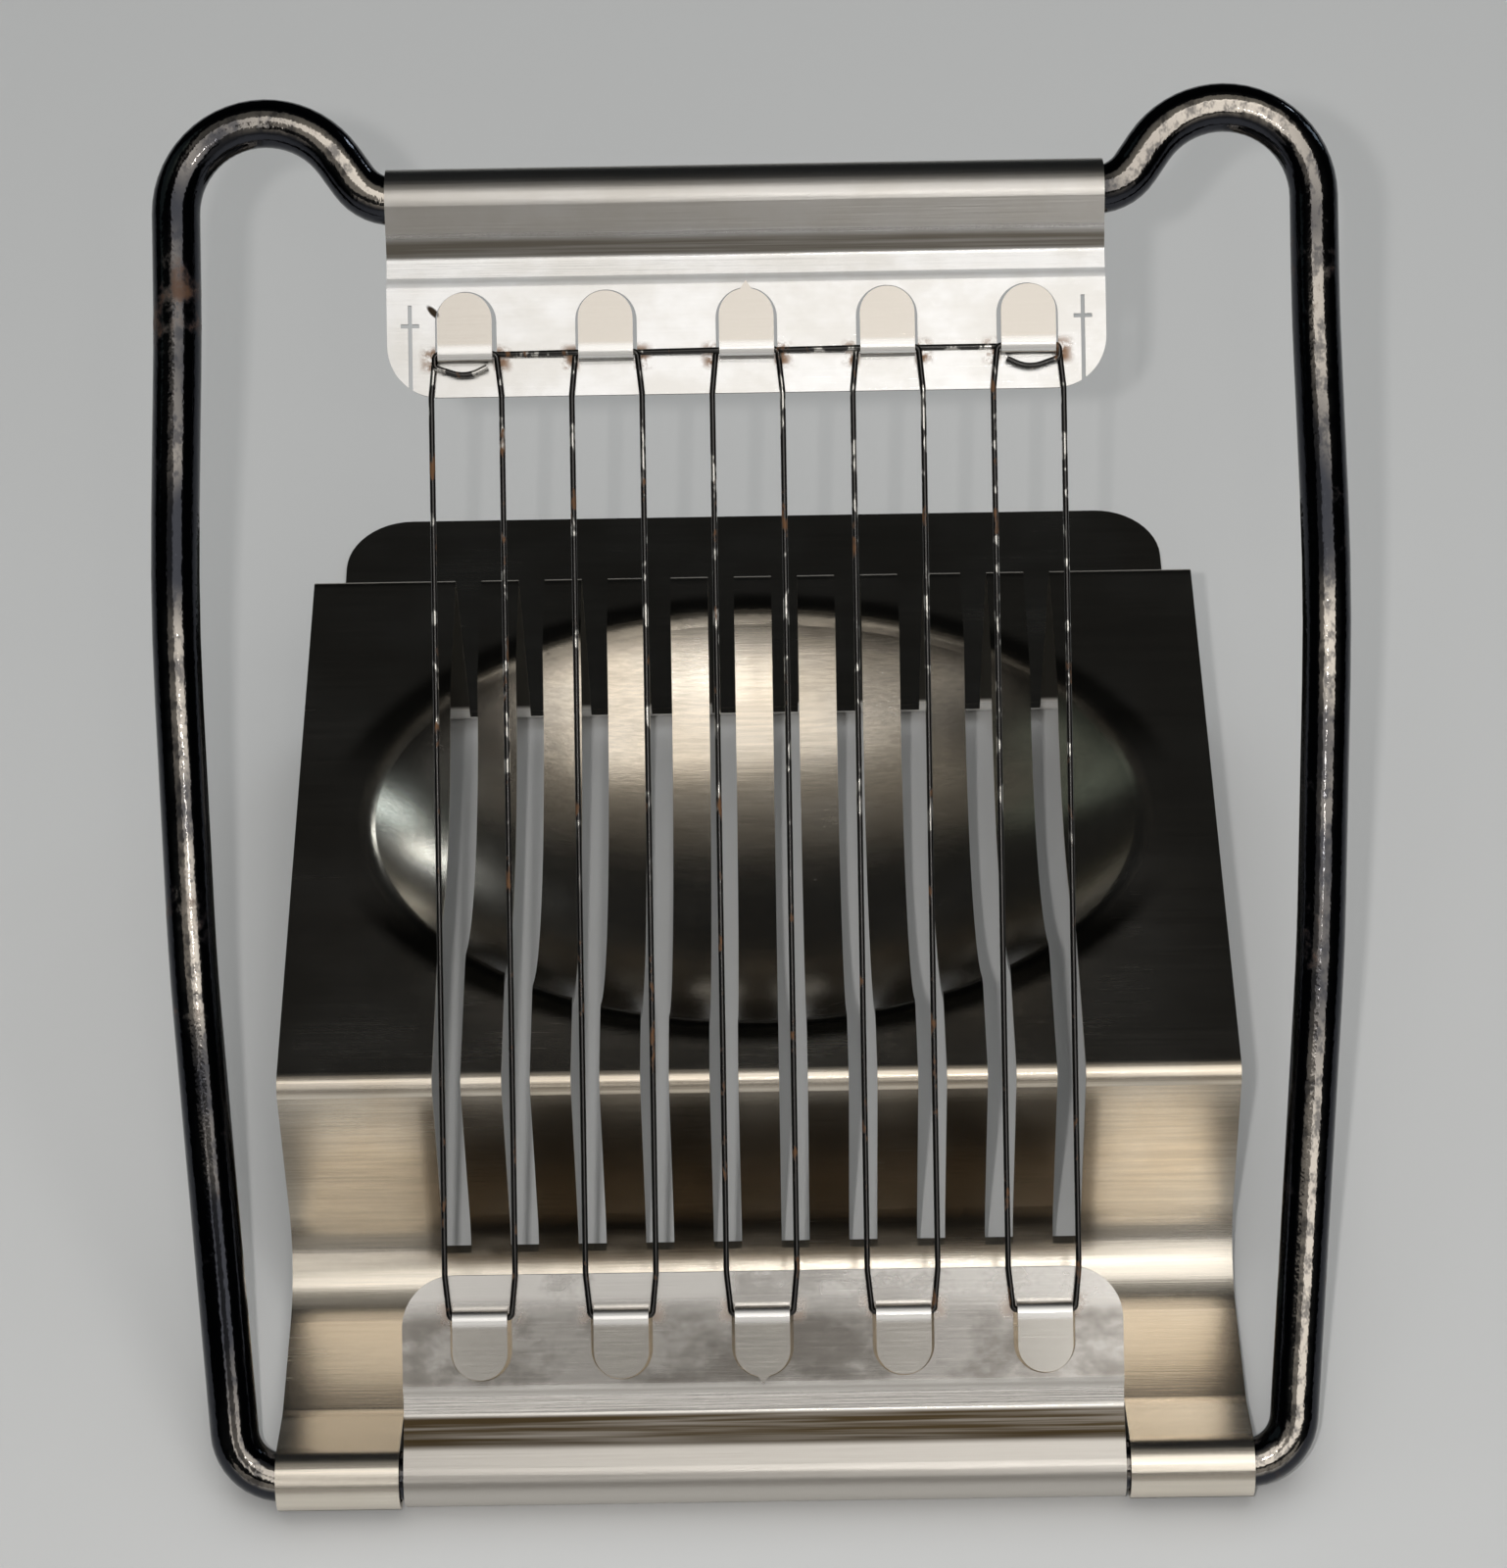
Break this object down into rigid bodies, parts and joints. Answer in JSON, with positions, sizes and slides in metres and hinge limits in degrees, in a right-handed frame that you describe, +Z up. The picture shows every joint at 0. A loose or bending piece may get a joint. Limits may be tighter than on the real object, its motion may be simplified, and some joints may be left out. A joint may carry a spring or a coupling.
{
  "type": "egg slicer",
  "caption": "Hinged egg slicer: a wire-strung rod frame swings down through a slotted, dished sheet-steel base and cuts a boiled egg into slices",
  "frame": {"origin": "middle of the footprint, on the surface that the slicer stands on", "axes": "+X to the right along the hinge, +Y from the hinge to the front, +Z up"},
  "size_m": [0.1038, 0.119, 0.0795],
  "materials": {
    "base_steel": "brushed, worn",
    "rod_chrome": "tarnished plating",
    "clip_steel": "satin",
    "wire_steel": "dull, spotted"
  },
  "bodies": {
    "base": {"base_plate": "base_steel"},
    "wire_frame": {"frame_rod": "rod_chrome", "upper_clip": "clip_steel", "lower_clip": "clip_steel", "cutting_wire_01": "wire_steel", "cutting_wire_02": "wire_steel", "cutting_wire_03": "wire_steel", "cutting_wire_04": "wire_steel", "cutting_wire_05": "wire_steel", "cutting_wire_06": "wire_steel", "cutting_wire_07": "wire_steel", "cutting_wire_08": "wire_steel", "cutting_wire_09": "wire_steel", "cutting_wire_10": "wire_steel", "wire_turn_1": "wire_steel", "wire_turn_2": "wire_steel", "wire_turn_3": "wire_steel", "wire_turn_4": "wire_steel", "wire_turn_5": "wire_steel", "wire_run_1": "wire_steel", "wire_run_2": "wire_steel", "wire_run_3": "wire_steel", "wire_run_4": "wire_steel", "wire_end_left": "wire_steel", "wire_end_right": "wire_steel"}
  },
  "joints": [
    {"name": "frame_hinge", "type": "hinge", "parent": "base", "child": "wire_frame", "pos_m": [0, -0.0566, 0.0029], "axis": [1, 0, 0], "range_deg": [-39.2, 134]}
  ]
}
